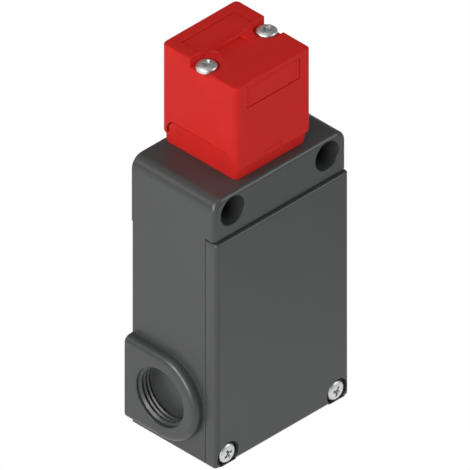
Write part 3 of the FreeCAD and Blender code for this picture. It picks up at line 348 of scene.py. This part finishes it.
def headOutline(look):
    # the dome is a quarter of an ellipse from the crown to the brim
    radius, crown, brim = look["headRadius"], look["crownRadius"], look["brimHeight"]
    reach = radius - crown
    rise = look["headHeight"] - brim
    points = [(0, look["headHeight"])]
    for step in range(look["domeSteps"] + 1):
        angle = math.radians(90 - 90 * step / look["domeSteps"])
        points.append((crown + reach * math.cos(angle), brim + rise * math.sin(angle)))
    return points + [(radius, look["brimEase"]), (radius - look["brimEase"], 0)]


def spunSolid(outline, steps):
    bm = bmesh.new()
    verts = [bm.verts.new((x * mm, 0, z * mm)) for x, z in outline]
    edges = [bm.edges.new(pair) for pair in zip(verts, verts[1:])]
    bmesh.ops.spin(bm, geom=verts + edges, cent=(0, 0, 0), axis=(0, 0, 1), angle=math.tau,
                   steps=steps, use_merge=True)
    bmesh.ops.remove_doubles(bm, verts=bm.verts, dist=spinReach * mm)
    bmesh.ops.recalc_face_normals(bm, faces=bm.faces)
    return bm


def woundRidge(outline, pitch, turns, stepsRound):
    # a closed outline carried round the Z axis while it sinks by the pitch each turn
    bm = bmesh.new()
    verts = [bm.verts.new((x * mm, 0, z * mm)) for x, z in outline]
    edges = [bm.edges.new((verts[index], verts[index - 1])) for index in range(len(verts))]
    steps = round(turns * stepsRound)
    ends = bmesh.ops.spin(bm, geom=verts + edges, cent=(0, 0, 0), axis=(0, 0, 1), steps=steps,
                          angle=math.tau * turns, dvec=(0, 0, -pitch * mm / stepsRound))
    bm.faces.new(verts)
    bmesh.ops.contextual_create(bm, geom=[item for item in ends["geom_last"]
                                          if isinstance(item, bmesh.types.BMEdge)])
    bmesh.ops.recalc_face_normals(bm, faces=bm.faces)
    return bm


def crossCutter(look):
    bm = bmesh.new()
    for quarter in range(2):
        bar = bmesh.ops.create_cube(bm, size=1)["verts"]
        low = [vert for vert in bar if vert.co.z < 0]
        bmesh.ops.scale(bm, verts=low, vec=(look["recessTaper"], look["recessTaper"], 1))
        bmesh.ops.scale(bm, verts=bar, vec=(2 * look["recessReach"] * mm, look["recessWidth"] * mm,
                                            2 * look["recessDepth"] * mm))
        bmesh.ops.translate(bm, verts=bar, vec=(0, 0, look["headHeight"] * mm))
        quarterTurn = Matrix.Rotation(math.pi / 2 * quarter, 3, "Z")
        bmesh.ops.rotate(bm, verts=bar, cent=(0, 0, 0), matrix=quarterTurn)
    pit = bmesh.ops.create_cone(bm, segments=look["pitSides"], cap_ends=True,
                                radius1=look["pitRadius"] * mm,
                                radius2=look["recessWidth"] * look["pitSpread"] * mm,
                                depth=2 * look["recessDepth"] * look["pitDepth"] * mm)
    bmesh.ops.translate(bm, verts=pit["verts"], vec=(0, 0, look["headHeight"] * mm))
    return bm


def carved(body, cutter):
    cut = body.modifiers.new("recess", "BOOLEAN")
    cut.operation = "DIFFERENCE"
    cut.solver = "EXACT"
    cut.use_self = True
    cut.object = cutter
    graph = bpy.context.evaluated_depsgraph_get()
    mesh = bpy.data.meshes.new_from_object(body.evaluated_get(graph))
    for helper in (body, cutter):
        bpy.data.objects.remove(helper)
    return mesh


def screwMesh(look, length):
    core, thread = look["coreRadius"], look["threadRadius"]
    pitch, point = look["pitch"], look["pointLength"]
    outline = headOutline(look) + [
        (thread, 0), (thread, -look["neckLength"]), (core, -look["neckFoot"]),
        (core, -length + point), (core - point, -length), (0, -length)]
    body = keepMesh("screwBlank", spunSolid(outline, look["stepsRound"]))
    mesh = carved(body, keepMesh("crossCutter", crossCutter(look)))
    start, root = -look["threadStart"], core - look["threadSunk"]
    section = [(root, start), *((thread, start - pitch * share) for share in look["crest"]),
               (root, start - pitch)]
    turns = (length - look["threadLeftOff"]) / pitch
    ridge = woundRidge(section, pitch, turns, look["threadSteps"])
    ridge.from_mesh(mesh)
    ridge.to_mesh(mesh)
    ridge.free()
    return mesh


def placeScrews(nodeName, look, length, turned, spots):
    # each spot is where the screw's axis meets its seat, with the recess's turn in degrees
    template = screwMesh(look, length)
    bm = bmesh.new()
    for spot, recessTurn in spots:
        before = len(bm.verts)
        bm.from_mesh(template)
        bm.verts.ensure_lookup_table()
        twist = Matrix.Rotation(math.radians(recessTurn), 4, "Z")
        bmesh.ops.transform(bm, matrix=Matrix.Translation(spot) @ turned @ twist,
                            verts=bm.verts[before:])
    return standFor(keepMesh(nodeName + "_detailed", bm), nodeName)


def screwSpots(nodeName, look, columns, rows):
    # places of a group whose heads face the front, read from the group's box
    low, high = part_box(nodeName)
    radius = look["headRadius"] * mm
    left, right = low.x + radius, high.x - radius
    bottom, top = low.z + radius, high.z - radius
    spots = []
    for row in range(rows):
        for column in range(columns):
            x = left + (right - left) * column / max(1, columns - 1)
            z = bottom + (top - bottom) * row / max(1, rows - 1)
            turn = look["firstTurn"] + look["nextTurn"] * len(spots)
            spots.append((Vector((x, low.y + look["headHeight"] * mm, z)), turn))
    return spots


def shankLength(nodeName, look, axis):
    low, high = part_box(nodeName)
    return (high[axis] - low[axis]) / mm - look["headHeight"]


frontScrewGroups = {
    "cover_screws": (2, 1),
    "terminal_screws": (2, 3),
    "block_screws": (2, 1),
    "earth_screw": (1, 1),
}
for nodeName, (columns, rows) in frontScrewGroups.items():
    placeScrews(nodeName, panScrew, shankLength(nodeName, panScrew, 1), upToFront,
                screwSpots(nodeName, panScrew, columns, rows))
low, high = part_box("head_screws")
headSeat = high.z - panScrew["headHeight"] * mm
headScrewX = high.x - panScrew["headRadius"] * mm
headScrewY = (low.y + high.y) / 2
headScrewTurns = {-1: 30, 1: 12}  # how far the left and the right recess are turned
placeScrews("head_screws", panScrew, shankLength("head_screws", panScrew, 2), upToTop,
            [(Vector((side * headScrewX, headScrewY, headSeat)), turn)
             for side, turn in headScrewTurns.items()])
print("screws placed")


# Under each cover screw the pocket keeps a thin rim at the cover's foot.

pocketRim = {"reach": 3.2, "columns": 16, "thickness": 0.24, "depth": 2.4, "edge": 0.7,
             "inset": 0.02, "pocketRadius": 4.32}


def makePocketRims(look):
    low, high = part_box("cover_screws")
    radius = panScrew["headRadius"] * mm
    screwHeight = (low.z + radius) / mm
    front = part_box("cover")[0].y
    bm = bmesh.new()
    for middle in (low.x + radius, high.x - radius):
        grid = bmesh.ops.create_grid(bm, x_segments=look["columns"], y_segments=2, size=1)["verts"]
        for vert in grid:
            x = look["reach"] * vert.co.x
            pocketFoot = screwHeight - math.sqrt(look["pocketRadius"] ** 2 - x ** 2)
            top = max(look["thickness"], pocketFoot)
            z = top * (vert.co.y + 1) / 2
            drop = max(0, look["edge"] - z)
            y = look["inset"] + look["edge"] - math.sqrt(look["edge"] ** 2 - drop ** 2)
            vert.co = (middle + x * mm, front + y * mm, (z + look["inset"]) * mm)
        sheet = list({face for vert in grid for face in vert.link_faces})
        grown = bmesh.ops.extrude_face_region(bm, geom=sheet, use_keep_orig=True)["geom"]
        for item in grown:
            if isinstance(item, bmesh.types.BMVert):
                item.co.y = front + look["depth"] * mm
    bmesh.ops.recalc_face_normals(bm, faces=bm.faces)
    piece = keepMesh("cover_pocket_rims", bm)
    piece.data.materials.append(finishes["powder_coated_casting"])
    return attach(piece, "switch_body")


makePocketRims(pocketRim)
print("pocket rims made")


# The thread inside each conduit entry: a ridge wound inwards from the mouth.

entryThread = {"rootRadius": 10.03, "crestRadius": 9.2, "pitch": 1.5, "rootShare": 0.96,
               "crestWidth": 0.25, "start": 0.55, "turns": 3.4, "stepsRound": 96}


def makeEntryThread(name, mountName, look, side):
    root, crest, pitch = look["rootRadius"], look["crestRadius"], look["pitch"]
    top = -look["start"]
    half = look["crestWidth"] / 2
    middle = top - pitch / 2
    outline = [(root, top), (crest, middle + half), (crest, middle - half),
               (root, top - pitch * look["rootShare"])]
    bm = woundRidge(outline, pitch, look["turns"], look["stepsRound"])
    mouthX = side * cadBox[1][0]
    place = mountPlaces[mountName]
    mouth = Matrix.Translation((mouthX, place.y, place.z))
    turned = Matrix.Rotation(math.radians(90 * side), 4, "Y")
    bmesh.ops.transform(bm, matrix=mouth @ turned, verts=bm.verts)
    piece = keepMesh(name, bm, sharpAngle=30)
    piece.data.materials.append(finishes["powder_coated_casting"])
    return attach(piece, "switch_body")


makeEntryThread("entry_thread_left", "left_conduit_entry", entryThread, -1)
makeEntryThread("entry_thread_right", "right_conduit_entry", entryThread, 1)
print("conduit threads wound")


# Springs: round wire wound at one even pitch, its two ends capped.

coilSteps = {"stepsRound": 32, "wireSides": 10}


def makeCoil(wireRadius, meanRadius, low, high, turns, middle):
    # heights in metres, radii in millimetres
    sides = coilSteps["wireSides"]
    angles = [math.tau * side / sides for side in range(sides)]
    outline = [(meanRadius + wireRadius * math.cos(angle), wireRadius * math.sin(angle))
               for angle in angles]
    pitch = ((high - low) / mm - 2 * wireRadius) / turns
    bm = woundRidge(outline, pitch, turns, coilSteps["stepsRound"])
    top = Vector((middle.x, middle.y, high - wireRadius * mm))
    bmesh.ops.translate(bm, verts=bm.verts, vec=top)
    return bm


def makeReturnSpring(look):
    low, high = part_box("return_spring")
    middle = (low + high) / 2
    bm = makeCoil(look["wireRadius"], look["meanRadius"], low.z, high.z, look["turns"], middle)
    piece = keepMesh("return_spring_wound", bm)
    piece.data.materials.append(finishes["spring_steel"])
    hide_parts("return_spring")
    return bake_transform(piece)


makeReturnSpring({"wireRadius": 0.35, "meanRadius": 2.5, "turns": 4})


def islandBoxes(nodeName):
    # lowest and highest corner of each loose part of a node
    bm = bmesh.new()
    bm.from_mesh(frame["nodes"][nodeName].data)
    bmesh.ops.remove_doubles(bm, verts=bm.verts, dist=looseReach * mm)
    left = set(bm.verts)
    boxes = []
    while left:
        reached = [left.pop()]
        found = []
        while reached:
            vert = reached.pop()
            found.append(vert.co.copy())
            for edge in vert.link_edges:
                other = edge.other_vert(vert)
                if other in left:
                    left.discard(other)
                    reached.append(other)
        boxes.append((Vector([min(point[k] for point in found) for k in range(3)]),
                      Vector([max(point[k] for point in found) for k in range(3)])))
    bm.free()
    return sorted(boxes, key=lambda corners: corners[0].z)


def makeContactSprings(look):
    bm = bmesh.new()
    for low, high in islandBoxes("contact_springs"):
        middle = (low + high) / 2
        coil = makeCoil(look["wireRadius"], look["meanRadius"], low.z, high.z, look["turns"],
                        middle)
        scratch = bpy.data.meshes.new("coilScratch")
        coil.to_mesh(scratch)
        coil.free()
        bm.from_mesh(scratch)
        bpy.data.meshes.remove(scratch)
    return standFor(keepMesh("contact_springs_wound", bm), "contact_springs")


makeContactSprings({"wireRadius": 0.2, "meanRadius": 1.4, "turns": 3})


def makeHeadRing(look):
    # the round section of the ring, turned about the plunger's line
    low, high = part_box("head_o_ring")
    middle = (low + high) / 2
    wire = look["wireRadius"] * mm
    bm = bmesh.new()
    section = bmesh.ops.create_circle(bm, segments=look["wireSides"], radius=wire)["verts"]
    edges = list(bm.edges)
    upright = Matrix.Rotation(math.pi / 2, 3, "X")
    bmesh.ops.rotate(bm, verts=section, cent=(0, 0, 0), matrix=upright)
    bmesh.ops.translate(bm, verts=section, vec=((high.x - low.x) / 2 - wire, 0, 0))
    bmesh.ops.spin(bm, geom=section + edges, cent=(0, 0, 0), axis=(0, 0, 1), angle=math.tau,
                   steps=look["stepsRound"], use_merge=True)
    bmesh.ops.remove_doubles(bm, verts=bm.verts, dist=spinReach * mm)
    bmesh.ops.recalc_face_normals(bm, faces=bm.faces)
    bmesh.ops.translate(bm, verts=bm.verts, vec=middle)
    return standFor(keepMesh("head_ring_round", bm), "head_o_ring")


makeHeadRing({"wireRadius": 0.74, "wireSides": 16, "stepsRound": 72})
print("springs and ring made")


# The set: a pale floor, a white surround, soft lamps and the camera.

def whiteWhereSeen(tree, reflected, share=None):
    # 1 for what the camera sees directly, less for what a reflection sees
    path = tree.nodes.new("ShaderNodeLightPath")
    mirrored = tree.nodes.new("ShaderNodeMath")
    mirrored.operation = "MULTIPLY"
    mirrored.inputs[1].default_value = reflected
    tree.links.new(path.outputs["Is Glossy Ray"], mirrored.inputs[0])
    if share is not None:
        tree.links.new(share, mirrored.inputs[1])
    seen = tree.nodes.new("ShaderNodeMath")
    seen.operation = "MAXIMUM"
    tree.links.new(path.outputs["Is Camera Ray"], seen.inputs[0])
    tree.links.new(mirrored.outputs[0], seen.inputs[1])
    return seen.outputs[0]


# floorReflected and the fade's two edges set a painted reflection: how much white glow gloss sees
# on the floor
stage = {"floorSize": 12.0, "floorDrop": 0.0001, "floorWhite": 0.82, "floorReflected": 0.94,
         "reflectedGlowFade": (0.04, 0.17), "worldLight": 0.13, "worldReflected": 0.08}


def reflectedGlowShare(tree, look):
    # painted reflection: the floor glows white only where gloss sees it, and that glow fades out
    # towards the floor's front right
    place = tree.nodes.new("ShaderNodeTexCoord")
    across = tree.nodes.new("ShaderNodeVectorMath")
    across.operation = "DOT_PRODUCT"
    across.inputs[1].default_value = (math.sqrt(0.5), -math.sqrt(0.5), 0)
    tree.links.new(place.outputs["Object"], across.inputs[0])
    fade = tree.nodes.new("ShaderNodeMapRange")
    fade.inputs["From Min"].default_value = look["reflectedGlowFade"][0]
    fade.inputs["From Max"].default_value = look["reflectedGlowFade"][1]
    fade.inputs["To Min"].default_value = look["floorReflected"]
    fade.inputs["To Max"].default_value = 0.0
    tree.links.new(across.outputs["Value"], fade.inputs["Value"])
    return fade.outputs["Result"]


def makeFloor(look):
    bm = bmesh.new()
    bmesh.ops.create_grid(bm, x_segments=1, y_segments=1, size=look["floorSize"] / 2)
    bmesh.ops.translate(bm, verts=bm.verts, vec=(0, 0, cadBox[0][2] - look["floorDrop"]))
    floor = keepMesh("floor", bm)
    material = bpy.data.materials.new("paleFloor")
    material.use_nodes = True
    tree = material.node_tree
    tree.nodes.clear()
    output = tree.nodes.new("ShaderNodeOutputMaterial")
    matt = tree.nodes.new("ShaderNodeBsdfDiffuse")
    matt.inputs["Color"].default_value = (look["floorWhite"],) * 3 + (1,)
    glow = tree.nodes.new("ShaderNodeEmission")
    glow.inputs["Strength"].default_value = 1.0
    mix = tree.nodes.new("ShaderNodeMixShader")
    # the camera sees the floor as white glow; gloss sees the painted reflection glow, which fades
    # towards the front right
    tree.links.new(whiteWhereSeen(tree, 0.0, reflectedGlowShare(tree, look)), mix.inputs["Fac"])
    tree.links.new(matt.outputs[0], mix.inputs[1])
    tree.links.new(glow.outputs[0], mix.inputs[2])
    tree.links.new(mix.outputs[0], output.inputs["Surface"])
    floor.data.materials.append(material)


def makeWorld(look):
    world = bpy.data.worlds.new("softSurround")
    bpy.context.scene.world = world
    world.use_nodes = True
    tree = world.node_tree
    background = tree.nodes["Background"]
    background.inputs["Color"].default_value = (1, 1, 1, 1)
    strength = tree.nodes.new("ShaderNodeMapRange")
    strength.inputs["To Min"].default_value = look["worldLight"]
    strength.inputs["To Max"].default_value = 1.0
    tree.links.new(whiteWhereSeen(tree, look["worldReflected"]), strength.inputs["Value"])
    tree.links.new(strength.outputs["Result"], background.inputs["Strength"])


# The picture is an even-scaled corner view, so one pixel is the same length along X, Y and Z.
picture = {"pixels": 470, "pixelsPerMillimetre": 3.3411, "middle": (-1.1165, 1.1165, 63.405),
           "distance": 0.6, "clipStart": 0.01, "clipEnd": 30.0}
aim = Vector(picture["middle"]) * mm


def makeCamera(look):
    data = bpy.data.cameras.new("cornerView")
    data.type = "ORTHO"
    data.ortho_scale = look["pixels"] / look["pixelsPerMillimetre"] * mm
    data.clip_start = look["clipStart"]
    data.clip_end = look["clipEnd"]
    camera = bpy.data.objects.new("cornerView", data)
    towards = Vector((-1, -1, 1)).normalized()
    camera.location = aim + towards * look["distance"]
    camera.rotation_euler = towards.to_track_quat("Z", "Y").to_euler()
    bpy.context.scene.collection.objects.link(camera)
    bpy.context.scene.camera = camera


lamps = {  # places in metres; a glint lamp shows only as gloss on rounded edges
    "leftSoftbox": {"place": (-1.25, -0.45, 0.42), "size": 0.8, "power": 8.8},
    "frontSoftbox": {"place": (0.75, -1.0, 0.70), "size": 0.7, "power": 6.0,
                     "colour": (0.96, 1.0, 1.05)},
    "topSoftbox": {"place": (-0.2, 0.2, 1.4), "size": 0.9, "power": 2.2},
    "keySoftbox": {"place": (-1.05, 0.22, 0.95), "size": 0.36, "power": 3.8},
    "rearSoftbox": {"place": (-0.85, 0.85, 0.85), "size": 0.5, "power": 1.2},
    "keyGlint": {"place": (-1.12, 0.05, 0.80), "size": 0.34, "power": 8.0, "onlyGloss": True},
    "threadGlint": {"place": (-1.25, -0.42, 0.42), "size": 0.3, "power": 4.0, "onlyGloss": True},
}


def makeLamp(name, look):
    light = bpy.data.lights.new(name, "AREA")
    light.shape = "SQUARE"
    light.size = look["size"]
    light.energy = look["power"]
    light.color = look.get("colour", (1, 1, 1))
    lamp = bpy.data.objects.new(name, light)
    place = Vector(look["place"])
    lamp.location = place
    lamp.rotation_euler = (aim - place).to_track_quat("-Z", "Y").to_euler()
    lamp.visible_diffuse = not look.get("onlyGloss", False)
    bpy.context.scene.collection.objects.link(lamp)


makeFloor(stage)
makeWorld(stage)
for lampName, lampLook in lamps.items():
    makeLamp(lampName, lampLook)
makeCamera(picture)
bpy.context.scene.view_settings.view_transform = "Standard"
print("set and camera ready")
